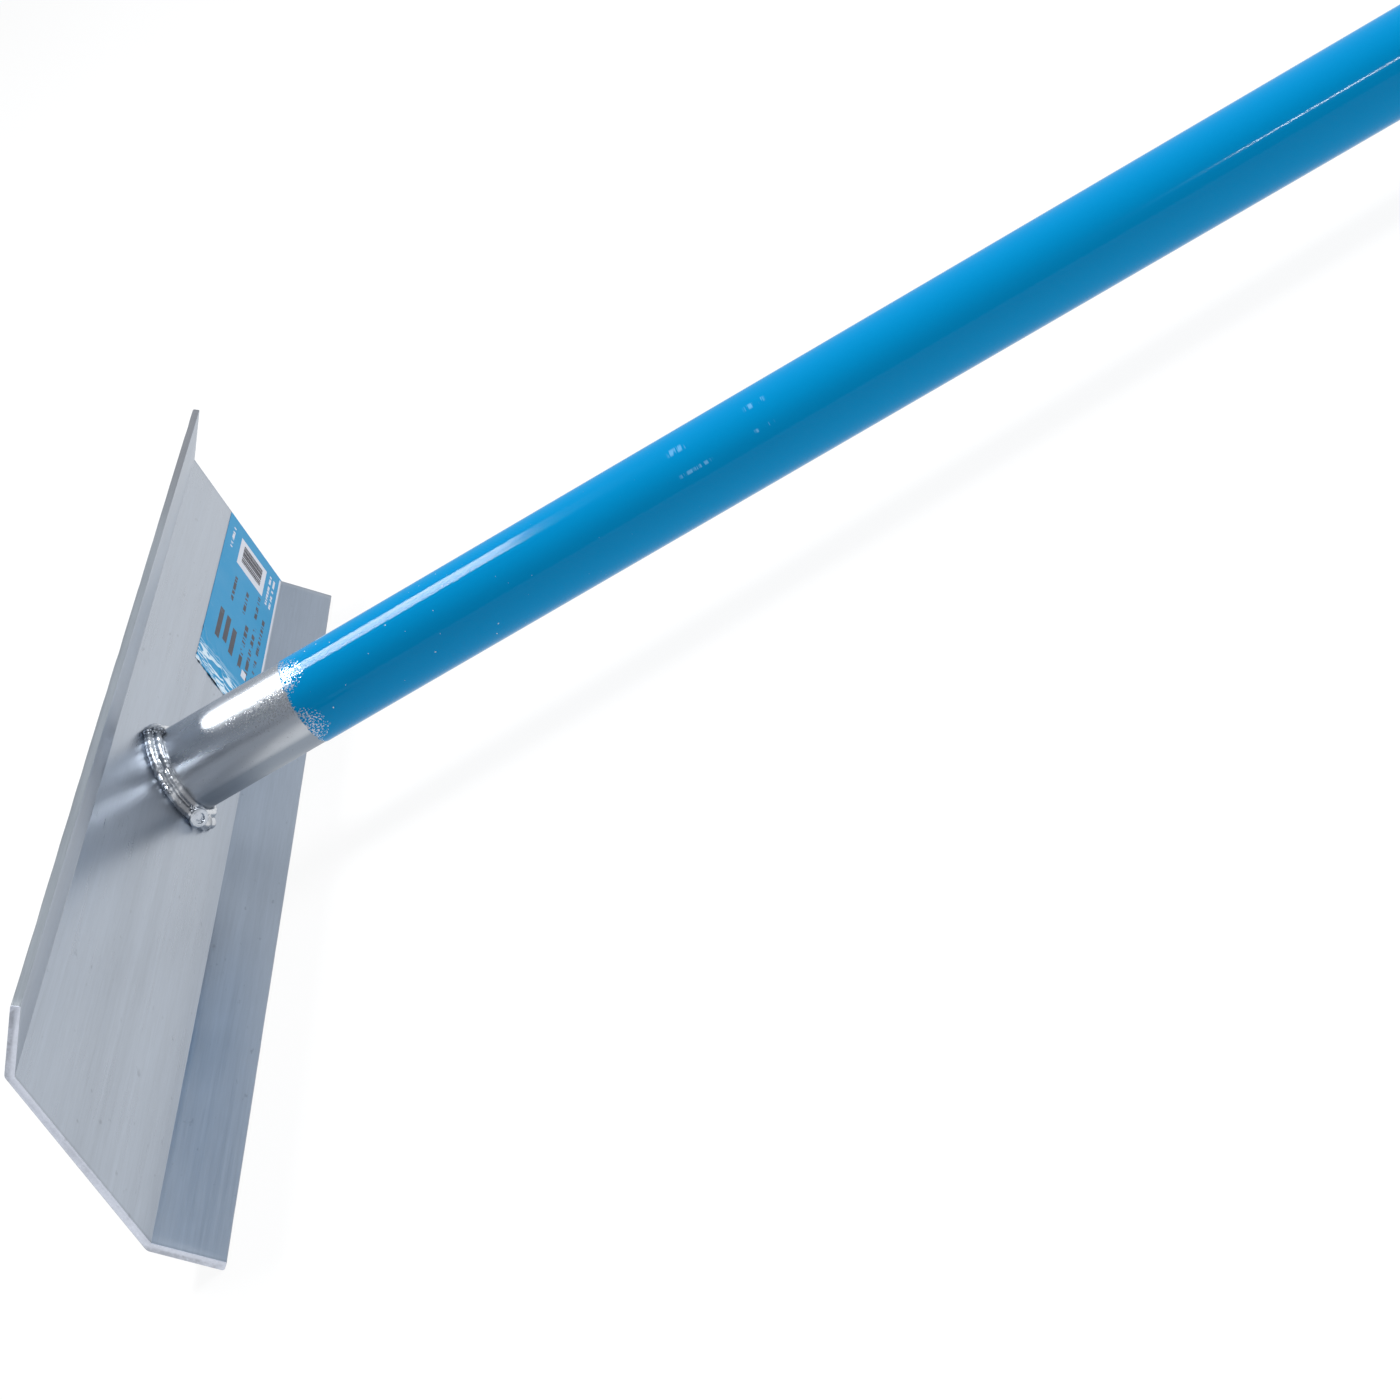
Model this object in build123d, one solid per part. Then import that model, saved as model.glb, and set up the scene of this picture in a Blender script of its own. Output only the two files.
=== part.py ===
"""Concrete placer: a folded aluminium blade with a round tube handle welded square to its face.

Frame, in millimetres: the origin is the centre of the blade's flat back face. +Y runs along the
handle towards the user, +X along the blade, and +Z towards the blade's upper lip.
"""

from build123d import *
from math import cos, radians, sin, tan
import os

# Blade: one strip of sheet with two equal folds towards the handle
BLADE_LENGTH = 495.0
SHEET = 2.8
FACE_HALF = 32.0  # from the handle's axis to each inner fold line
LIP_WIDTH = 22.0  # measured on the inner side, from the fold line to the tip
FOLD_ANGLE = 40.0
FOLD_OUTER_RADIUS = 3.4
FOLD_INNER_RADIUS = 0.8
TIP_RADIUS = 0.7

# Handle: a tube butted against the blade's inner face, coated in colour past a bare collar
TUBE_DIAMETER = 31.6
TUBE_WALL = 2.0
HANDLE_LENGTH = 1372.0
COATING = 0.3
BARE_COLLAR = 53.0

# Weld: a fillet all round the foot of the tube
WELD_LEG = 6.5
WELD_BULGE = 0.7

# Grip: a moulded sleeve with a closed end, pushed over the coated tube
GRIP_LENGTH = 140.0
GRIP_WALL = 2.6
GRIP_END = 4.0
GRIP_END_RADIUS = 3.0

# Label: a vinyl sticker on the face, from near the blade's end towards the handle
LABEL_LENGTH = 153.0
LABEL_HEIGHT = 36.4
LABEL_THICKNESS = 0.15
LABEL_CORNER = 0.8
LABEL_END_MARGIN = 0.6
LABEL_FOLD_MARGIN = 0.5

TUBE_RADIUS = TUBE_DIAMETER / 2
COAT_RADIUS = TUBE_RADIUS + COATING
GRIP_RADIUS = COAT_RADIUS + GRIP_WALL
TUBE_END = SHEET + HANDLE_LENGTH


def along_handle(radius, start, end):
    """A solid cylinder on the handle's axis, between two distances from the back face."""
    plane = Plane(origin=(0, start, 0), x_dir=(1, 0, 0), z_dir=(0, 1, 0))
    return extrude(plane * Circle(radius), end - start)


def blade_section():
    """The blade's cross-section, drawn in the YZ plane as a band of constant thickness."""
    fold = radians(FOLD_ANGLE)
    outer_fold = FACE_HALF + SHEET * tan(fold / 2)
    inner_tip = (SHEET + LIP_WIDTH * sin(fold), FACE_HALF + LIP_WIDTH * cos(fold))
    outer_tip = (inner_tip[0] - SHEET * cos(fold), inner_tip[1] + SHEET * sin(fold))
    upper = [(0, outer_fold), outer_tip, inner_tip, (SHEET, FACE_HALF)]
    lower = [(y, -z) for y, z in reversed(upper)]
    sketch = Plane.YZ * make_face(Polyline(*upper, *lower, close=True))

    def corners(depth, height):
        return [v for v in sketch.vertices() if abs(v.Y - depth) < 0.01 and abs(abs(v.Z) - height) < 0.01]

    for depth, height, radius in (
        (0, outer_fold, FOLD_OUTER_RADIUS),
        (SHEET, FACE_HALF, FOLD_INNER_RADIUS),
        (*outer_tip, TIP_RADIUS),
        (*inner_tip, TIP_RADIUS / 2),
    ):
        sketch = fillet(corners(depth, height), radius)
    return sketch


def make_blade():
    return extrude(blade_section(), BLADE_LENGTH / 2, dir=(1, 0, 0), both=True)


def make_tube():
    bore = TUBE_RADIUS - TUBE_WALL
    return along_handle(TUBE_RADIUS, SHEET, TUBE_END) - along_handle(bore, SHEET, TUBE_END)


def make_coating():
    start = SHEET + BARE_COLLAR
    return along_handle(COAT_RADIUS, start, TUBE_END) - along_handle(TUBE_RADIUS, start, TUBE_END)


def make_weld():
    toe_face = (TUBE_RADIUS + WELD_LEG, SHEET)
    toe_tube = (TUBE_RADIUS, SHEET + WELD_LEG)
    crown = (TUBE_RADIUS + WELD_LEG / 2 + WELD_BULGE, SHEET + WELD_LEG / 2 + WELD_BULGE)
    legs = Polyline(toe_face, (TUBE_RADIUS, SHEET), toe_tube)
    return revolve(make_face(legs + ThreePointArc(toe_tube, crown, toe_face)), Axis.Y, 360)


def make_grip():
    start = TUBE_END - GRIP_LENGTH
    outer = along_handle(GRIP_RADIUS, start, TUBE_END + GRIP_END)
    rims = outer.edges().filter_by(GeomType.CIRCLE).sort_by(Axis.Y)
    outer = fillet(rims[-1:], GRIP_END_RADIUS)
    outer = fillet(outer.edges().filter_by(GeomType.CIRCLE).sort_by(Axis.Y)[:1], GRIP_WALL / 3)
    return outer - along_handle(COAT_RADIUS, start, TUBE_END)


def make_label():
    plane = Plane(
        origin=(
            -BLADE_LENGTH / 2 + LABEL_END_MARGIN + LABEL_LENGTH / 2,
            SHEET,
            -FACE_HALF + LABEL_FOLD_MARGIN + LABEL_HEIGHT / 2,
        ),
        x_dir=(-1, 0, 0),
        z_dir=(0, 1, 0),
    )
    return extrude(plane * RectangleRounded(LABEL_LENGTH, LABEL_HEIGHT, LABEL_CORNER), LABEL_THICKNESS)


NODES = {
    "blade": make_blade(),
    "handle_tube": make_tube(),
    "handle_coating": make_coating(),
    "weld_bead": make_weld(),
    "hand_grip": make_grip(),
    "blade_label": make_label(),
}

os.makedirs("parts", exist_ok=True)
for name, shape in NODES.items():
    export_step(shape, f"parts/{name}.step")
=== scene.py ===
import bmesh
import bpy
import math
import random
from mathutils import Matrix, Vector, noise


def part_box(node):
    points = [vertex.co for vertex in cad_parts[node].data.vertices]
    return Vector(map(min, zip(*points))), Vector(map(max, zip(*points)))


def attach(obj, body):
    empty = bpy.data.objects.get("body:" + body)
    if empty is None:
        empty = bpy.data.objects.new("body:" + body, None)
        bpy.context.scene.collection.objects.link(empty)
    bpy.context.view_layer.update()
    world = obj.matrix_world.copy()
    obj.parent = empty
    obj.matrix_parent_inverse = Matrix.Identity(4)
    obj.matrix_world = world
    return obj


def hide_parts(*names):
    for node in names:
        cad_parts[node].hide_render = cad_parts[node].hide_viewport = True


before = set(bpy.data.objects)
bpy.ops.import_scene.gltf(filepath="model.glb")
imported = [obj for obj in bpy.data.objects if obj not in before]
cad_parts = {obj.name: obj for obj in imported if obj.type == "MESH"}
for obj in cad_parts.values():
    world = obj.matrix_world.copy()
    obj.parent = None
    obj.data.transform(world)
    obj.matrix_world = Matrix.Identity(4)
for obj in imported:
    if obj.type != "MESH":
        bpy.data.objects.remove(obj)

random.seed(7)
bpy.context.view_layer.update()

# Camera: a long lens, close to the +X end of the blade and a little above it, rolled to one
# side, so that the handle climbs away to the upper right and leaves the picture.
camera_data = bpy.data.cameras.new("camera")
camera_data.lens = 80.99
camera_data.sensor_width = 36.0
camera = bpy.data.objects.new("camera", camera_data)
camera.location = (0.99583, 0.36171, 0.33526)
camera.rotation_euler = (math.radians(64.205), math.radians(30.958), math.radians(86.845))
bpy.context.scene.collection.objects.link(camera)
bpy.context.scene.camera = camera
bpy.context.scene.view_settings.view_transform = "Standard"


# Blade: one strip of aluminium sheet, cut square at both ends, with both long edges folded
# forward by the same angle. The mill finish is drawn out along the strip.
blade_low, blade_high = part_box("blade")
blade_half = blade_high[0]
sheet = 0.0028
face_half = 0.032
lip_width = 0.022
fold = math.radians(40)
outer_fold_radius = 0.0034
inner_fold_radius = 0.0008
outer_tip_radius = 0.0007
inner_tip_radius = 0.00035
cut_edge = 0.00007  # bevel along the edges of the two end cuts
blade_slices = 150
lip_soft_from = 0.046  # height above the middle at which the lips begin to dent and bow
lip_soft_width = 0.0047
dent_depth = 0.00035
bow_depth = 0.0003
die_line_height = 0.0065  # a wide line left along the face by the die, and how it fades either side
die_line_fade = (0.0035, 0.001)
tip_begins = (0.0166, 0.017)  # heights above the inner folds: where the tip colour begins, and where the painted shade on the back of the lips ends
back_ends = (0.0174, 0.0166)
sheet_colour = (0.455, 0.51, 0.59)
tip_lit_and_shaded_colours = ((0.5, 0.53, 0.56), (0.41, 0.41, 0.43))  # towards +X, and a darker copy towards -X that is painted shade
cut_colour = (0.76, 0.8, 0.9)


def only(piece):
    """Leaves edit mode and makes a piece the one selected and active object."""
    if bpy.context.mode != "OBJECT":
        bpy.ops.object.mode_set(mode="OBJECT")
    bpy.ops.object.select_all(action="DESELECT")
    piece.select_set(True)
    bpy.context.view_layer.objects.active = piece


def fresh(name):
    """Names the primitive just added and fixes its place, turn and size into its mesh."""
    piece = bpy.context.active_object
    piece.name = name
    piece.data.name = name
    only(piece)
    bpy.ops.object.transform_apply(location=True, rotation=True, scale=True)
    return piece


def choose(piece, kind, test):
    """Goes to edit mode and selects the vertices, edges or faces with every corner passing a test."""
    only(piece)
    bpy.ops.object.mode_set(mode="EDIT")
    bpy.ops.mesh.select_mode(type=kind)
    bpy.ops.mesh.select_all(action="DESELECT")
    form = bmesh.from_edit_mesh(piece.data)
    for part in {"VERT": form.verts, "EDGE": form.edges, "FACE": form.faces}[kind]:
        corners = [part] if kind == "VERT" else part.verts
        part.select_set(all(test(corner.co) for corner in corners))
    form.select_flush_mode()
    bmesh.update_edit_mesh(piece.data)


def modify(piece, kind, **settings):
    """Adds a modifier and applies it."""
    only(piece)
    bpy.ops.object.modifier_add(type=kind)
    modifier = piece.modifiers[-1]
    for name, value in settings.items():
        setattr(modifier, name, value)
    bpy.ops.object.modifier_apply(modifier=modifier.name)


def smooth(piece, degrees):
    """Shades a piece smooth, but for edges sharper than an angle."""
    only(piece)
    bpy.ops.object.shade_smooth_by_angle(angle=math.radians(degrees))


def near(value, target, gap=0.00005):
    """Whether a value is within a gap, in metres, of a target."""
    return abs(value - target) < gap


def keep(piece, test):
    """Leaves selected only those of the selected edges that pass a test."""
    form = bmesh.from_edit_mesh(piece.data)
    for edge in form.edges:
        edge.select_set(edge.select and test(edge))
    bmesh.update_edit_mesh(piece.data)


bpy.ops.object.select_all(action="DESELECT")
bpy.ops.mesh.primitive_plane_add(size=2, location=(0, sheet, 0), rotation=(-math.pi / 2, 0, 0))
bpy.context.active_object.scale = (blade_half, face_half, 1)
blade = fresh("blade_sheet_metal")
for side in (1, -1):
    choose(blade, "EDGE", lambda co: near(co.z, side * face_half))
    out = (0, lip_width * math.sin(fold), side * lip_width * math.cos(fold))
    bpy.ops.mesh.extrude_region_move(TRANSFORM_OT_translate={"value": out})
modify(blade, "SOLIDIFY", thickness=sheet, offset=-1, use_even_offset=True)

outer_fold = face_half + sheet * math.tan(fold / 2)
inner_tip = Vector((sheet + lip_width * math.sin(fold), face_half + lip_width * math.cos(fold)))
outer_tip = inner_tip + sheet * Vector((-math.cos(fold), math.sin(fold)))
blade_bevels = (
    (Vector((0, outer_fold)), outer_fold_radius * math.tan(fold / 2), 6),
    (Vector((sheet, face_half)), inner_fold_radius * math.tan(fold / 2), 4),
    (inner_tip, inner_tip_radius, 2),
    (outer_tip, outer_tip_radius, 4),
)
for corner, width, segments in blade_bevels:
    choose(blade, "EDGE", lambda co: near(co.y, corner[0]) and near(abs(co.z), corner[1]))
    bpy.ops.mesh.bevel(offset=width, segments=segments, affect="EDGES")
for side in (1, -1):
    choose(blade, "EDGE", lambda co: near(co.x, side * blade_half))
    keep(blade, lambda edge: edge.calc_face_angle(0) > 0.5)
    bpy.ops.mesh.bevel(offset=cut_edge, segments=2, affect="EDGES")
choose(blade, "EDGE", lambda co: True)
keep(blade, lambda edge: edge.calc_length() > blade_half)
bpy.ops.mesh.subdivide(number_cuts=blade_slices)
only(blade)
for vertex in blade.data.vertices:
    reach = max(0.0, abs(vertex.co.z) - lip_soft_from) / lip_soft_width
    dent = noise.noise(Vector((vertex.co.x * 55, vertex.co.z * 8, 3)))
    bow = noise.noise(Vector((vertex.co.x * 7, 0, 9 + math.copysign(4, vertex.co.z))))
    vertex.co.z -= math.copysign(max(0, dent) * dent_depth * reach, vertex.co.z)
    vertex.co.y -= bow * bow_depth * reach
smooth(blade, 30)


def new_finish(name, metallic):
    """A material with one Principled surface. Returns it, its node tree and that surface."""
    material = bpy.data.materials.new(name)
    material.use_nodes = True
    surface = material.node_tree.nodes["Principled BSDF"]
    surface.inputs["Metallic"].default_value = metallic
    return material, material.node_tree, surface


def node(tree, kind, *inputs, **settings):
    """Adds a node, fills its inputs in order with values or links, and returns its first output."""
    made = tree.nodes.new("ShaderNode" + kind)
    for name, value in settings.items():
        setattr(made, name, value)
    for socket, value in zip(made.inputs, inputs):
        if isinstance(value, bpy.types.NodeSocket):
            tree.links.new(value, socket)
        elif value is not None:
            socket.default_value = value
    return made.outputs[0]


def maths(tree, operation, *values):
    """Adds a Math node and returns its output."""
    return node(tree, "Math", *values, operation=operation)


def place(tree, scale=(1, 1, 1), shift=(0, 0, 0)):
    """The place on the piece, stretched and shifted."""
    here = node(tree, "TexCoord").node.outputs["Object"]
    return node(tree, "Mapping", here, shift, (0, 0, 0), scale)


def grain(tree, scale, size, detail=4.0, roughness=0.6, shift=(0, 0, 0)):
    """Noise whose patches are drawn out by the inverse of scale."""
    made = node(tree, "TexNoise", place(tree, scale, shift)).node
    made.inputs["Scale"].default_value = size
    made.inputs["Detail"].default_value = detail
    made.inputs["Roughness"].default_value = roughness
    return made.outputs[0]


def between(tree, value, low, high, to_low=0.0, to_high=1.0):
    """Maps a value smoothly from one range to another, and holds it there."""
    return node(tree, "MapRange", value, low, high, to_low, to_high, interpolation_type="SMOOTHSTEP")


def mixed(tree, amount, first, second):
    """A mix of two colours. A Mix node's colours are its inputs 6 and 7 and its output 2."""
    made = tree.nodes.new("ShaderNodeMix")
    made.data_type = "RGBA"
    tree.links.new(amount, made.inputs[0])
    for socket, value in ((made.inputs[6], first), (made.inputs[7], second)):
        if isinstance(value, bpy.types.NodeSocket):
            tree.links.new(value, socket)
        else:
            socket.default_value = (*value, 1)
    return made.outputs[2]


def mixed_value(tree, amount, first, second):
    """A mix of two numbers."""
    change = maths(tree, "SUBTRACT", second, first)
    return maths(tree, "MULTIPLY_ADD", change, amount, first)


def raised(tree, surface, height, depth, strength):
    """Bumps a surface by a height from 0 to 1, times a depth in metres."""
    bump = node(tree, "Bump", strength, depth)
    tree.links.new(height, bump.node.inputs["Height"])
    tree.links.new(bump, surface.inputs["Normal"])


def mill_finish():
    """Aluminium sheet as rolled: fine lines and broad bands along X, and saw marks on the cuts. Painted
    shade darkens the back of the lips, the tip edges towards -X, and a strip inside each cut end.
    """
    material, tree, surface = new_finish("mill_finish_aluminium", 1.0)
    lines = grain(tree, (0.012, 1, 1), 900, 5, 0.7)
    threads = grain(tree, (0.03, 1, 1), 2600, 2, 0.5, (0, 3, 3))
    bands = grain(tree, (0.015, 1, 1), 95, 3, 0.6, (1, 7, 2))
    clouds = grain(tree, (1, 1, 1), 22, 3, 0.5, (4, 0, 2))
    pits = between(tree, grain(tree, (0.4, 1, 1), 420, 2, 0.5, (2, 2, 2)), 0.68, 0.78)
    tone = maths(tree, "MULTIPLY_ADD", lines, 0.22, 0.78)
    tone = maths(tree, "MULTIPLY_ADD", bands, 0.24, tone)
    tone = maths(tree, "MULTIPLY_ADD", threads, 0.12, tone)
    tone = maths(tree, "MULTIPLY_ADD", clouds, 0.1, tone)
    tone = maths(tree, "MULTIPLY_ADD", pits, -0.16, tone)
    tone = maths(tree, "ADD", tone, -0.33)
    here = node(tree, "TexCoord").node.outputs["Object"]
    along = node(tree, "SeparateXYZ", here)
    from_middle = maths(tree, "ABSOLUTE", along)
    end_cut = between(tree, from_middle, blade_half - 0.0003, blade_half - 0.0001)
    saw = grain(tree, (1, 1, 0.25), 1500, 3, 0.6)
    across = along.node.outputs[2]
    die_line = maths(tree, "MULTIPLY_ADD", bands, 0.02, across)
    die_line = maths(tree, "ABSOLUTE", maths(tree, "ADD", die_line, -die_line_height))
    tone = maths(tree, "MULTIPLY_ADD", between(tree, die_line, *die_line_fade), -0.05, tone)
    height_up = maths(tree, "SUBTRACT", maths(tree, "ABSOLUTE", across), face_half)
    depth_in = maths(tree, "SUBTRACT", along.node.outputs[1], sheet)
    depth_in = maths(tree, "MULTIPLY", depth_in, math.cos(fold))
    from_inside = maths(tree, "MULTIPLY_ADD", height_up, -math.sin(fold), depth_in)
    # Painted shade: the back of the lips is darkened in a rough grain, and more so towards -X.
    back = between(tree, from_inside, -0.0008, -0.0018)
    back = maths(tree, "MULTIPLY", back, between(tree, height_up, *back_ends))
    marks_and_painted_light = between(tree, grain(tree, (0.25, 1, 1), 300, 4, 0.7, (8, 1, 1)), 0.35, 0.65, 0.68, 0.92)
    marks_and_painted_light = maths(tree, "MULTIPLY", marks_and_painted_light, between(tree, along, 0.06, -0.04, 1.0, 0.68))
    tone = maths(tree, "MULTIPLY", tone, mixed_value(tree, back, 1.0, marks_and_painted_light))
    # Painted shade: a strip just inside each cut end is darkened, as the shadow of a burr.
    burr_shadow = between(tree, from_middle, blade_half - 0.0018, blade_half - 0.0005, 1.0, 0.84)
    tone = maths(tree, "MULTIPLY", tone, mixed_value(tree, end_cut, burr_shadow, 1.05))
    # Painted shade: the tip edges take the darker colour towards -X.
    tip = mixed(tree, between(tree, along, -0.08, -0.2), *tip_lit_and_shaded_colours)
    colour = mixed(tree, between(tree, height_up, *tip_begins), sheet_colour, tip)
    colour = mixed(tree, end_cut, colour, cut_colour)
    shade = node(tree, "VectorMath", colour, None, operation="MULTIPLY")
    levels = node(tree, "CombineXYZ", tone, tone, tone)
    tree.links.new(levels, shade.node.inputs[1])
    tree.links.new(shade, surface.inputs["Base Color"])
    dull = maths(tree, "MULTIPLY_ADD", lines, 0.12, 0.19)
    dull = maths(tree, "MULTIPLY_ADD", clouds, 0.08, dull)
    dull = maths(tree, "MULTIPLY_ADD", between(tree, height_up, 0.0, 0.002), 0.1, dull)
    dull = maths(tree, "MAXIMUM", dull, maths(tree, "MULTIPLY", end_cut, 0.5))
    tree.links.new(dull, surface.inputs["Roughness"])
    height = maths(tree, "MULTIPLY_ADD", threads, 0.5, lines)
    height = maths(tree, "MULTIPLY_ADD", maths(tree, "MULTIPLY", end_cut, saw), 2.0, height)
    raised(tree, surface, height, 0.00003, 0.4)
    return material


blade.data.materials.clear()
blade.data.materials.append(mill_finish())
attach(blade, "root")
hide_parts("blade")


# Handle tube: drawn aluminium tube, square-cut and welded to the blade by its end. Only a short
# collar by the weld is bare, speckled by the edge of the coating, with painted shade below
# broken by one painted highlight band.
tube_low, tube_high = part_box("handle_tube")
tube_start = tube_low[1]
tube_end = tube_high[1]
tube_radius = tube_high[0]
coat_low, coat_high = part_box("handle_coating")
coat_start = coat_low[1]
coat_radius = coat_high[0]
tube_wall = 0.002
drawn_colour = (0.6, 0.625, 0.66)
# The lower side of the bare tube takes this darker colour as painted shade.
underside_shade_colour = (0.27, 0.31, 0.365)
soot_colour = (0.27, 0.28, 0.3)


def sleeve(name, radius, wall, start, end, around=96):
    """A hollow tube along Y, from its outer radius inwards."""
    bpy.ops.object.select_all(action="DESELECT")
    bpy.ops.mesh.primitive_cylinder_add(
        vertices=around,
        radius=radius,
        depth=end - start,
        end_fill_type="NOTHING",
        location=(0, (start + end) / 2, 0),
        rotation=(-math.pi / 2, 0, 0),
    )
    piece = fresh(name)
    modify(piece, "SOLIDIFY", thickness=wall, offset=-1, use_even_offset=True)
    return piece


def off_axis(co):
    """Distance from the handle's axis."""
    return math.hypot(co.x, co.z)


tube = sleeve("bare_handle_tube", tube_radius, tube_wall, tube_start, tube_end)
choose(tube, "EDGE", lambda co: near(co.y, tube_end))
bpy.ops.mesh.bevel(offset=0.0003, segments=2, affect="EDGES")
smooth(tube, 30)


def around_handle(tree):
    """The angle round the handle's axis in radians, from +X towards +Z, and the distance along it."""
    here = node(tree, "TexCoord").node.outputs["Object"]
    x, y, z = node(tree, "SeparateXYZ", here).node.outputs
    return maths(tree, "ARCTAN2", z, x), y


def facing(tree, angle, degrees, spread):
    """One at an angle round the handle, falling to nothing at a spread either side, in degrees."""
    turn = maths(tree, "SUBTRACT", angle, math.radians(degrees))
    closeness = maths(tree, "COSINE", turn)
    return between(tree, closeness, math.cos(math.radians(spread)), 1.0)


def drawn_tube():
    """Bare tube, rougher below and darker there as painted shade, but for one painted highlight band;
    sooty by the weld, specked by the coat.
    """
    material, tree, surface = new_finish("drawn_aluminium_tube", 1.0)
    angle, along = around_handle(tree)
    lines = grain(tree, (1, 0.02, 1), 700, 4, 0.6)
    blotches = grain(tree, (1, 0.6, 1), 120, 4, 0.6, (3, 1, 5))
    specks = grain(tree, (1, 1, 1), 1500, 2, 0.6)
    by_coat = between(tree, along, coat_start - 0.028, coat_start - 0.002)
    by_weld = between(tree, along, 0.026, 0.009)
    by_coat = maths(tree, "MULTIPLY", by_coat, facing(tree, angle, 40, 38))
    dust = between(tree, maths(tree, "MULTIPLY_ADD", by_coat, 0.2, specks), 0.66, 0.72)
    soot = maths(tree, "MULTIPLY", by_weld, between(tree, blotches, 0.35, 0.7))
    sooty = maths(tree, "MULTIPLY", soot, 0.3)
    mark = maths(tree, "MAXIMUM", maths(tree, "MULTIPLY", dust, 0.65), sooty)
    # Painted highlight: one band along the lower side is kept light.
    painted_highlight_band = maths(tree, "MULTIPLY_ADD", facing(tree, angle, -12, 15), -0.6, 1.0)
    # Painted shade: the lower side of the bare tube is darkened and made rougher.
    shaded_underside = maths(tree, "MULTIPLY", facing(tree, angle, -56, 86), painted_highlight_band)
    bare = mixed(tree, shaded_underside, drawn_colour, underside_shade_colour)
    colour = mixed(tree, mark, bare, soot_colour)
    tree.links.new(colour, surface.inputs["Base Color"])
    dull = maths(tree, "MULTIPLY_ADD", blotches, 0.14, 0.2)
    dull = maths(tree, "MULTIPLY_ADD", shaded_underside, 0.16, dull)
    tree.links.new(maths(tree, "MULTIPLY_ADD", mark, 0.3, dull), surface.inputs["Roughness"])
    raised(tree, surface, maths(tree, "MULTIPLY_ADD", dust, 0.8, lines), 0.00004, 0.5)
    return material


tube.data.materials.clear()
tube.data.materials.append(drawn_tube())
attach(tube, "root")
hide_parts("handle_tube")


# Coating: blue powder coat, baked on before the blade is welded. It was masked off by the weld,
# so it stops in a thin, slightly ragged step, with metal showing through in specks beside it.
coat_edge = 0.0002
coat_rings = (0.0015, 0.004, 0.012)  # how far past its edge the coating is divided
ragged_depth = 0.00035
ragged_fine_depth = 0.00025
coat_colours = ((0.0, 0.205, 0.45), (0.0, 0.235, 0.5))
# Lighter blue for the scuffs and for the painted highlight patches.
scuff_and_highlight_colour = (0.25, 0.55, 0.85)
fleck_colour = (0.75, 0.75, 0.68)
chip_lit_and_shaded_colours = ((0.6, 0.64, 0.7), (0.4, 0.46, 0.56))  # bare metal, and a darker copy as painted shade for the lower side
# The first two patches are painted highlights along the line of the tube's light streak; the last two
# are scuffs.
coat_scuffs_and_highlights = (
    (0.2138, 56, 0.0045, 6),  # distance along the handle, degrees round it, half length, degrees wide
    (0.2435, 57, 0.0045, 5),
    (0.2165, 23, 0.0070, 3),
    (0.2430, 25, 0.0045, 3),
)

coating = sleeve("blue_powder_coat", coat_radius, coat_radius - tube_radius, coat_start, tube_end, 192)
choose(coating, "EDGE", lambda co: near(co.y, coat_start) and off_axis(co) > coat_radius - 0.00001)
bpy.ops.mesh.bevel(offset=coat_edge, segments=3, affect="EDGES")
for step in coat_rings:
    only(coating)
    bpy.ops.object.mode_set(mode="EDIT")
    bpy.ops.mesh.select_all(action="SELECT")
    bpy.ops.mesh.bisect(plane_co=(0, coat_start + step, 0), plane_no=(0, 1, 0))
only(coating)
for vertex in coating.data.vertices:
    if vertex.co.y < coat_start + 0.001:
        spot = Vector((vertex.co.x * 500, 0, vertex.co.z * 500))
        vertex.co.y += ragged_depth * noise.noise(spot) + ragged_fine_depth * noise.noise(spot * 3)
smooth(coating, 30)


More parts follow.
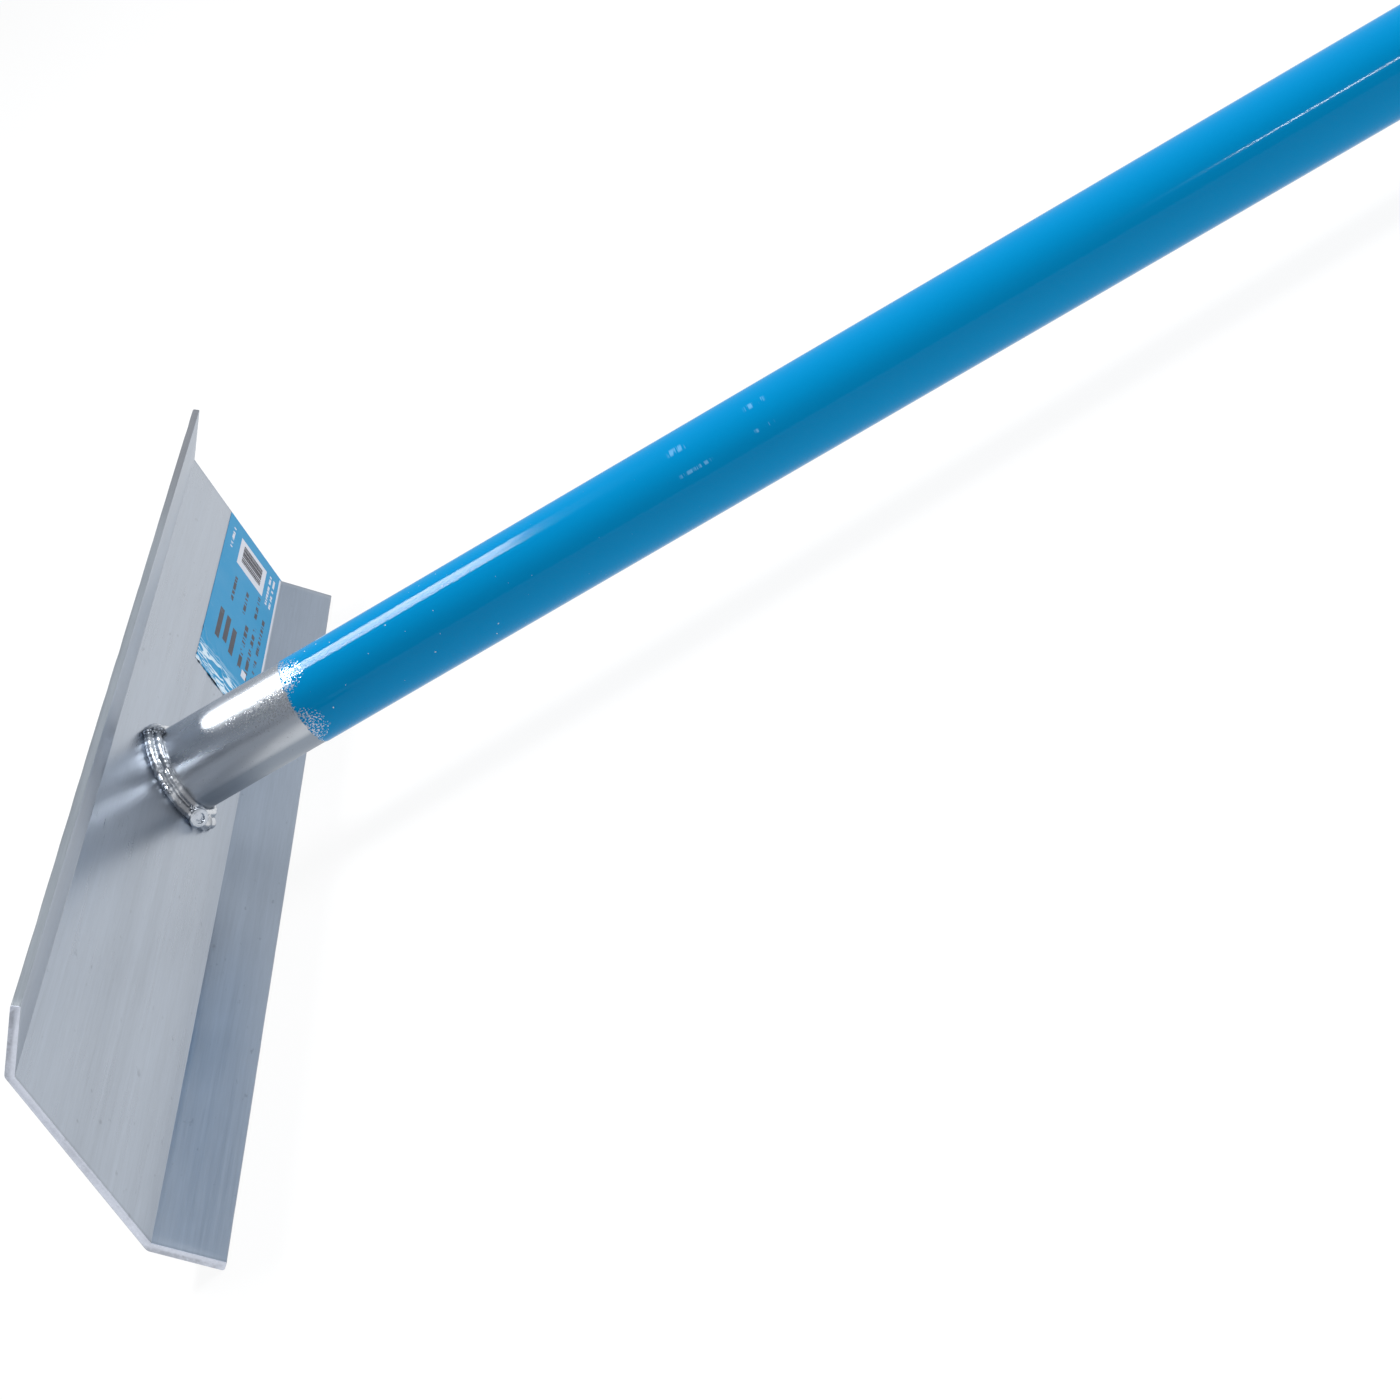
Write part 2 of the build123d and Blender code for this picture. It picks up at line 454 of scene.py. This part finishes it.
def powder_coat():
    """Glossy blue coating with a faint orange peel, metal specks by its edge (those on the lower side
    with painted shade), two light scuffs and two painted highlight patches.
    """
    material, tree, surface = new_finish("blue_powder_coating", 0.0)
    surface.inputs["IOR"].default_value = 1.17
    angle, along = around_handle(tree)
    peel = grain(tree, (1, 0.4, 1), 260, 2, 0.5)
    drift = grain(tree, (1, 0.1, 1), 30, 2, 0.5, (1, 4, 2))
    fine = grain(tree, (1, 1, 1), 1700, 1, 0.6)
    rare = grain(tree, (1, 1, 1), 1100, 0, 0.5, (5, 5, 5))
    past_edge = maths(tree, "SUBTRACT", along, coat_start)
    lower_side = maths(tree, "MULTIPLY", facing(tree, angle, -14, 34), 0.85)
    sides = maths(tree, "MAXIMUM", facing(tree, angle, 62, 34), lower_side)
    reach = maths(tree, "MULTIPLY_ADD", sides, 0.0085, 0.0008)
    closeness = maths(tree, "SUBTRACT", 1.0, maths(tree, "DIVIDE", past_edge, reach))
    ragged = maths(tree, "MULTIPLY_ADD", closeness, 0.16, maths(tree, "SUBTRACT", fine, 0.64))
    chips = between(tree, ragged, 0.0, 0.02)
    chips = maths(tree, "MULTIPLY", chips, between(tree, closeness, 0.0, 0.1))
    flecks = maths(tree, "MULTIPLY", between(tree, rare, 0.87, 0.885), between(tree, along, 0.22, 0.06))
    ticks = between(tree, grain(tree, (0.1, 1, 0.1), 1100, 1, 0.6, (6, 2, 6)), 0.44, 0.58)
    marks_and_painted_light = 0.0
    # Each patch lightens the coat in fine ticks: a painted highlight for the first two, a scuff for the
    # others.
    for distance, degrees, length, spread in coat_scuffs_and_highlights:
        off = maths(tree, "ABSOLUTE", maths(tree, "SUBTRACT", along, distance))
        patch_mask = maths(tree, "MULTIPLY", between(tree, off, length, length * 0.6), ticks)
        patch_mask = maths(tree, "MULTIPLY", patch_mask, facing(tree, angle, degrees, spread))
        marks_and_painted_light = maths(tree, "MULTIPLY_ADD", patch_mask, 0.45, marks_and_painted_light)
    tone = mixed(tree, drift, *coat_colours)
    tone = mixed(tree, marks_and_painted_light, tone, scuff_and_highlight_colour)
    tone = mixed(tree, flecks, tone, fleck_colour)
    # Painted shade: chips on the lower side take the darker copy of the metal colour.
    chipped = mixed(tree, lower_side, *chip_lit_and_shaded_colours)
    tree.links.new(mixed(tree, chips, tone, chipped), surface.inputs["Base Color"])
    tree.links.new(chips, surface.inputs["Metallic"])
    tree.links.new(maths(tree, "MULTIPLY_ADD", chips, 0.25, 0.08), surface.inputs["Roughness"])
    raised(tree, surface, maths(tree, "MULTIPLY_ADD", chips, -3.0, peel), 0.00001, 0.25)
    return material


coating.data.materials.clear()
coating.data.materials.append(powder_coat())
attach(coating, "root")
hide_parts("handle_coating")


# Weld: a hand-laid fillet round the foot of the tube, in two passes of overlapping ripples. It
# starts in a lump on the upper side and stops in a flat crater on the lower side.
weld_start = math.radians(85)
weld_stop = math.radians(-33)
weld_passes = (
    (0.0037, 0.0012, 0.0019, 64),  # on the blade: out from the tube, up from the face, size, ripples
    (0.0013, 0.0038, 0.0018, 60),  # on the tube
)
weld_start_lumps = (
    (-1, 0.0035, 0.0014, 0.0018),  # degrees on from the start, out, up, size: from blade to tube
    (1, 0.0027, 0.0036, 0.0016),
    (3, 0.0010, 0.0052, 0.0016),
)
weld_stop_lumps = (
    (0, 0.0030, 0.0018, 0.0036),  # the last pool, then the ragged toe that runs on past it
    (-22, 0.0036, 0.0016, 0.0030),
    (-40, 0.0042, 0.0012, 0.0024),
)
crater_rings = (
    (0.0030, 0.0007, 0.0006),  # radius, half thickness, how far it stands out
    (0.0022, 0.0004, 0.0011),
)
weld_root_out = 0.0012  # the plain ring under the ripples: its middle out from the tube and up
weld_root_radius = 0.0020
weld_grain = 0.0003  # size of the cubes that the blobs are merged with
bright_weld = (0.6, 0.625, 0.66)
oxide_colour = (0.36, 0.38, 0.41)
start_dark_colour = (0.16, 0.175, 0.2)
middle_soot = (0.2, 0.21, 0.23)
crater_colour = (0.5, 0.54, 0.6)


def weld_blob(angle, out, up, size):
    """A rounded blob of weld metal at an angle round the tube, returned as an object."""
    reach = tube_radius + out
    spot = (reach * math.cos(angle), tube_start + up, reach * math.sin(angle))
    bpy.ops.mesh.primitive_uv_sphere_add(segments=16, ring_count=8, radius=1, location=spot)
    blob = bpy.context.active_object
    blob.scale = size
    blob.rotation_euler = (0, -angle, 0)
    return blob


blobs = []
for out, up, size, ripples in weld_passes:
    for i in range(ripples):
        angle = 2 * math.pi * (i + random.uniform(-0.15, 0.15)) / ripples
        swell = size * random.uniform(0.94, 1.05)
        wander = random.uniform(-0.00012, 0.00012)
        behind = min(1.0, max(0.0, (0.2 - math.cos(angle)) / 0.3))
        slim = max(behind, 0.75 * math.sin(angle))
        reach = out * (1 - 0.4 * slim) + wander
        blobs.append(weld_blob(angle, reach, up * (1 - 0.3 * behind), (swell, swell, swell * 1.5)))
for turn, out, up, size in weld_start_lumps:
    blobs.append(weld_blob(weld_start + math.radians(turn), out, up, (size, size, size * 0.9)))
for turn, out, up, size in weld_stop_lumps:
    blobs.append(weld_blob(weld_stop + math.radians(turn), out, up, (size, size, size)))
crater_out = Vector((0.8, 0.5, -0.1)).normalized()
crater_reach = tube_radius + 0.0048
crater_middle = Vector((math.cos(weld_stop), 0, math.sin(weld_stop))) * crater_reach
crater_middle.y = tube_start + 0.0030
for radius, thickness, lift in crater_rings:
    bpy.ops.mesh.primitive_torus_add(
        major_segments=32,
        minor_segments=8,
        major_radius=radius,
        minor_radius=thickness,
        location=crater_middle + crater_out * lift,
        rotation=crater_out.to_track_quat("Z", "Y").to_euler(),
    )
    blobs.append(bpy.context.active_object)
bpy.ops.mesh.primitive_torus_add(
    major_segments=96,
    minor_segments=12,
    major_radius=tube_radius + weld_root_out,
    minor_radius=weld_root_radius,
    location=(0, tube_start + weld_root_out, 0),
    rotation=(math.pi / 2, 0, 0),
)
weld = bpy.context.active_object
bpy.ops.object.select_all(action="DESELECT")
for blob in blobs:
    blob.select_set(True)
weld.select_set(True)
bpy.context.view_layer.objects.active = weld
bpy.ops.object.join()
weld = fresh("weld_bead_metal")
modify(weld, "REMESH", mode="VOXEL", voxel_size=weld_grain)
modify(weld, "SMOOTH", factor=0.5, iterations=5)
only(weld)
bpy.ops.object.mode_set(mode="EDIT")
bpy.ops.mesh.select_all(action="SELECT")
bpy.ops.mesh.bisect(
    plane_co=(0, tube_start - 0.0002, 0), plane_no=(0, 1, 0), use_fill=True, clear_inner=True
)
only(weld)
smooth(weld, 60)


def weld_metal():
    """Bright frozen aluminium with fine wrinkles and grey oxide, darker at its start and sooty midway.
    """
    material, tree, surface = new_finish("aluminium_weld_metal", 1.0)
    wrinkles = grain(tree, (1, 1, 1), 500, 3, 0.55)
    oxide = grain(tree, (1, 1, 1), 260, 3, 0.6, (4, 4, 4))
    mark = between(tree, oxide, 0.48, 0.66)
    angle, _ = around_handle(tree)
    colour = mixed(tree, mark, bright_weld, oxide_colour)
    # The start of the weld is coloured darker.
    colour = mixed(tree, facing(tree, angle, 87, 20), colour, start_dark_colour)
    sooty = maths(tree, "MULTIPLY", facing(tree, angle, -12, 20), between(tree, oxide, 0.35, 0.5))
    colour = mixed(tree, sooty, colour, middle_soot)
    colour = mixed(tree, facing(tree, angle, -34, 14), colour, crater_colour)
    tree.links.new(colour, surface.inputs["Base Color"])
    tree.links.new(maths(tree, "MULTIPLY_ADD", mark, 0.2, 0.22), surface.inputs["Roughness"])
    raised(tree, surface, wrinkles, 0.00005, 0.35)
    return material


weld.data.materials.clear()
weld.data.materials.append(weld_metal())
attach(weld, "root")
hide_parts("weld_bead")


# Label: a printed vinyl sticker on the blade's face, reaching down to the lower fold. One corner by
# the handle has lifted into creases. The print is plain blocks, dashes and bars.
label_low, label_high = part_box("blade_label")
label_face = label_high[1]
label_middle = [(low + high) / 2 for low, high in zip(label_low, label_high)]
label_half = [(high - low) / 2 for low, high in zip(label_low, label_high)]
crease_reach = 0.034
crease_height = 0.0011
vinyl_colour = (0.02, 0.265, 0.5)
crease_colour = (0.62, 0.74, 0.82)
worn_colour = (0.2, 0.35, 0.48)
inks = {"white": (0.6, 0.62, 0.68), "dark": (0.06, 0.06, 0.075)}
label_print = (
    # middle across and up, half width and half height, all in millimetres, ink, and how it is broken
    (0, -17.8, 75, 0.5, "white", ""),
    (-53, 0, 13.5, 9, "white", ""),
    (-54, 0, 8.5, 6.5, "dark", "bars"),
    (27, 10.5, 14, 1.3, "dark", ""),
    (25, 6.0, 12, 1.3, "dark", ""),
    (29, 1.5, 12, 1.3, "dark", ""),
    (22, -4.5, 22, 1.0, "dark", "words"),
    (20, -9, 26, 0.9, "dark", "words"),
    (12, -13, 34, 0.8, "dark", "words"),
    (-15, 7, 12, 0.8, "dark", "words"),
    (-17, -1, 12, 0.8, "dark", "words"),
    (-24, -8, 12, 0.8, "dark", "words"),
    (-55, 14, 12, 0.7, "white", "words"),
    (-52, -12, 15, 0.6, "white", "words"),
    (-52, -14.5, 15, 0.6, "white", "words"),
    (43, -8, 3.2, 1.4, "white", ""),
)

bpy.ops.object.select_all(action="DESELECT")
bpy.ops.mesh.primitive_grid_add(
    x_subdivisions=300,
    y_subdivisions=80,
    size=2,
    location=(label_middle[0], label_face, label_middle[2]),
    rotation=(-math.pi / 2, 0, 0),
)
bpy.context.active_object.scale = (label_half[0], label_half[2], 1)
label = fresh("vinyl_label")


def crease(co):
    """How far the sticker stands off the blade: long wrinkles from its upper inner corner."""
    corner = Vector((label_high[0], label_high[2]))
    away = (Vector((co.x, co.z)) - corner).length
    fade = max(0.0, 1 - away / crease_reach) ** 0.7
    slant = (co.x - corner[0]) * 0.35 + (co.z - corner[1]) * 0.95
    ridge = noise.noise(Vector((slant * 420, co.x * 40, 2)))
    return fade * max(0.0, ridge) * crease_height


for vertex in label.data.vertices:
    vertex.co.y += crease(vertex.co) + 0.00001
modify(label, "SOLIDIFY", thickness=label_face - label_low[1], offset=-1)
smooth(label, 40)


def printed_vinyl():
    """Blue sticker: white panel with bars, a plain dark mark, rows of dashes and a light border."""
    material, tree, surface = new_finish("printed_blue_vinyl", 0.0)
    surface.inputs["Specular IOR Level"].default_value = 0.1
    here = node(tree, "TexCoord").node.outputs["Object"]
    from_middle = node(tree, "VectorMath", here, tuple(label_middle), operation="SUBTRACT")

    def block(x, z, half_width, half_height):
        """One inside a block of print, given in millimetres from the middle of the label."""
        centre = (x / 1000, 0, z / 1000)
        off = node(tree, "VectorMath", from_middle, centre, operation="SUBTRACT")
        off = node(tree, "VectorMath", off, operation="ABSOLUTE")
        across, _, down = node(tree, "SeparateXYZ", off).node.outputs
        inside = maths(tree, "LESS_THAN", across, half_width / 1000)
        return maths(tree, "MULTIPLY", inside, maths(tree, "LESS_THAN", down, half_height / 1000))

    bars = grain(tree, (1, 0, 0), 900, 1, 0.5)
    words = grain(tree, (1, 0.3, 0.3), 520, 1, 0.5, (2, 2, 2))
    gaps = maths(tree, "GREATER_THAN", words, 0.46)
    colour = vinyl_colour
    for x, z, half_width, half_height, ink, broken in label_print:
        shape = block(x, z, half_width, half_height)
        if broken == "words":
            shape = maths(tree, "MULTIPLY", shape, gaps)
        if broken == "bars":
            shape = maths(tree, "MULTIPLY", shape, maths(tree, "GREATER_THAN", bars, 0.42))
        colour = mixed(tree, shape, colour, inks[ink])
    folds = grain(tree, (1, 1, 0.35), 150, 2, 0.5)
    folds.node.inputs["Distortion"].default_value = 1.2
    streaks = maths(tree, "ABSOLUTE", maths(tree, "SUBTRACT", folds, 0.5))
    streaks = between(tree, streaks, 0.06, 0.03)
    to_handle = node(tree, "SeparateXYZ", from_middle)
    lifted = between(tree, to_handle, label_half[0] - 0.026, label_half[0] - 0.012)
    colour = mixed(tree, maths(tree, "MULTIPLY", streaks, lifted), colour, crease_colour)
    wear = between(tree, grain(tree, (1, 1, 1), 260, 3, 0.6), 0.62, 0.8, 0.0, 0.2)
    colour = mixed(tree, wear, colour, worn_colour)
    tree.links.new(colour, surface.inputs["Base Color"])
    dull = maths(tree, "MULTIPLY_ADD", grain(tree, (1, 1, 1), 70, 3, 0.5), 0.2, 0.34)
    tree.links.new(dull, surface.inputs["Roughness"])
    raised(tree, surface, grain(tree, (1, 1, 1), 500, 2, 0.5), 0.00003, 0.4)
    return material


label.data.materials.clear()
label.data.materials.append(printed_vinyl())
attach(label, "root")
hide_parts("blade_label")


# Grip: a black moulded rubber sleeve with a closed, rounded end, pushed over the coated tube. It
# has a plain collar at its mouth and shallow ring ribs where the hand goes.
grip_low, grip_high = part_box("hand_grip")
grip_start = grip_low[1]
grip_end = grip_high[1]
grip_radius = grip_high[0]
grip_end_radius = 0.003
grip_mouth_radius = 0.0008
mouth_collar = 0.014
plain_end = 0.016
rib_pitch = 0.005
rib_depth = 0.0006
rib_cuts = (0.0, 0.0008, 0.0016, 0.0024)  # the groove between two ribs lies between the first and last
rubber_colours = ((0.014, 0.014, 0.016), (0.045, 0.045, 0.048))  # clean and dusty

bpy.ops.object.select_all(action="DESELECT")
bpy.ops.mesh.primitive_cylinder_add(
    vertices=96,
    radius=grip_radius,
    depth=grip_end - grip_start,
    location=(0, (grip_start + grip_end) / 2, 0),
    rotation=(-math.pi / 2, 0, 0),
)
grip = fresh("rubber_hand_grip")
choose(grip, "FACE", lambda co: near(co.y, grip_start))
bpy.ops.mesh.inset(thickness=grip_radius - coat_radius)
bpy.ops.mesh.extrude_region_move(TRANSFORM_OT_translate={"value": (0, tube_end - grip_start, 0)})
choose(grip, "EDGE", lambda co: near(co.y, grip_end))
bpy.ops.mesh.bevel(offset=grip_end_radius, segments=6, affect="EDGES")
choose(grip, "EDGE", lambda co: near(co.y, grip_start) and off_axis(co) > coat_radius + 0.0001)
bpy.ops.mesh.bevel(offset=grip_mouth_radius, segments=3, affect="EDGES")
ribs_from = grip_start + mouth_collar
ribs_to = grip_end - plain_end
rib_count = int((ribs_to - ribs_from) / rib_pitch)
for i in range(rib_count):
    for along in rib_cuts:
        only(grip)
        bpy.ops.object.mode_set(mode="EDIT")
        bpy.ops.mesh.select_all(action="SELECT")
        spot = ribs_from + i * rib_pitch + along
        bpy.ops.mesh.bisect(plane_co=(0, spot, 0), plane_no=(0, 1, 0))
only(grip)
for vertex in grip.data.vertices:
    along = vertex.co.y - ribs_from
    rib = along % rib_pitch
    in_ribs = 0 < along < rib_count * rib_pitch - 0.001
    if in_ribs and 0.0005 < rib < 0.002 and off_axis(vertex.co) > grip_radius - 0.0002:
        shrink = 1 - rib_depth / grip_radius
        vertex.co.x *= shrink
        vertex.co.z *= shrink
smooth(grip, 35)


def moulded_rubber():
    """Matt black rubber with a fine grain, greyed a little in patches."""
    material, tree, surface = new_finish("black_moulded_rubber", 0.0)
    skin = grain(tree, (1, 1, 1), 1600, 3, 0.6)
    dust = between(tree, grain(tree, (1, 0.5, 1), 90, 4, 0.6), 0.45, 0.75)
    colour = mixed(tree, dust, *rubber_colours)
    tree.links.new(colour, surface.inputs["Base Color"])
    tree.links.new(maths(tree, "MULTIPLY_ADD", dust, 0.2, 0.5), surface.inputs["Roughness"])
    raised(tree, surface, skin, 0.00008, 0.6)
    return material


grip.data.materials.clear()
grip.data.materials.append(moulded_rubber())
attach(grip, "root")
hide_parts("hand_grip")


# Studio: a plain white floor that glows, tipped so that the lower lip and the grip both rest on it,
# two soft boxes, a thin strip light on the camera's side, and a room that is pale on the far side.
lip_contact = 0.015
grip_contact = 1.376
floor_slope = (-grip_radius - blade_low[2]) / (grip_contact - lip_contact)
floor_middle = 0.5
floor_radius = 20
floor_colour = (0.08, 0.08, 0.08)
floor_glow = 0.92
bpy.ops.object.select_all(action="DESELECT")
bpy.ops.mesh.primitive_circle_add(
    vertices=64,
    radius=floor_radius,
    fill_type="NGON",
    location=(0, floor_middle, blade_low[2] + floor_slope * (floor_middle - lip_contact)),
    rotation=(math.atan(floor_slope), 0, 0),
)
floor = bpy.context.active_object
floor.name = "floor"
pale_floor, _, floor_surface = new_finish("pale_floor", 0.0)
floor_surface.inputs["Base Color"].default_value = (*floor_colour, 1)
floor_surface.inputs["Roughness"].default_value = 0.9
floor_surface.inputs["Specular IOR Level"].default_value = 0.0
floor_surface.inputs["Emission Color"].default_value = (1, 1, 1, 1)
floor_surface.inputs["Emission Strength"].default_value = floor_glow
floor.data.materials.append(pale_floor)


def soft_box(name, spot, aim, width, length, watts):
    """A rectangular area light, its length along Y as nearly as its aim allows."""
    data = bpy.data.lights.new(name, "AREA")
    data.shape = "RECTANGLE"
    data.size = width
    data.size_y = length
    data.energy = watts
    light = bpy.data.objects.new(name, data)
    light.location = spot
    away = (Vector(spot) - Vector(aim)).normalized()
    across = Vector((0, 1, 0)).cross(away).normalized()
    up = away.cross(across)
    for row in range(3):
        light.matrix_world[row][0] = across[row]
        light.matrix_world[row][1] = up[row]
        light.matrix_world[row][2] = away[row]
        light.matrix_world[row][3] = spot[row]
    bpy.context.scene.collection.objects.link(light)


soft_box("overhead_box", (-0.62, -0.68, 2.9), (0, 0, 0), 1.3, 0.44, 84)
soft_box("front_box", (-0.5, 2.3, 2.5), (0, 0.3, 0), 1.6, 1.6, 55)
soft_box("camera_side_strip", (1.756, 0.71, 0.958), (0, 0.6, 0), 0.085, 0.36, 8)

room_camera_side = (0.15, 0.165, 0.19)
room_far_side = (0.64, 0.69, 0.75)
room_behind_blade = (0.26, 0.29, 0.33)
world = bpy.data.worlds.new("room")
world.use_nodes = True
bpy.context.scene.world = world
room = world.node_tree
direction = room.nodes.new("ShaderNodeTexCoord").outputs["Generated"]
split = node(room, "SeparateXYZ", direction)
far_side = node(room, "MapRange", split, 0.6, -0.6, 0.0, 1.0)
colour = mixed(room, far_side, room_camera_side, room_far_side)
behind_blade = node(room, "MapRange", split.node.outputs[1], 0.1, -0.5, 0.0, 1.0)
colour = mixed(room, behind_blade, colour, room_behind_blade)
room.links.new(colour, room.nodes["Background"].inputs["Color"])
room.nodes["Background"].inputs["Strength"].default_value = 1.0
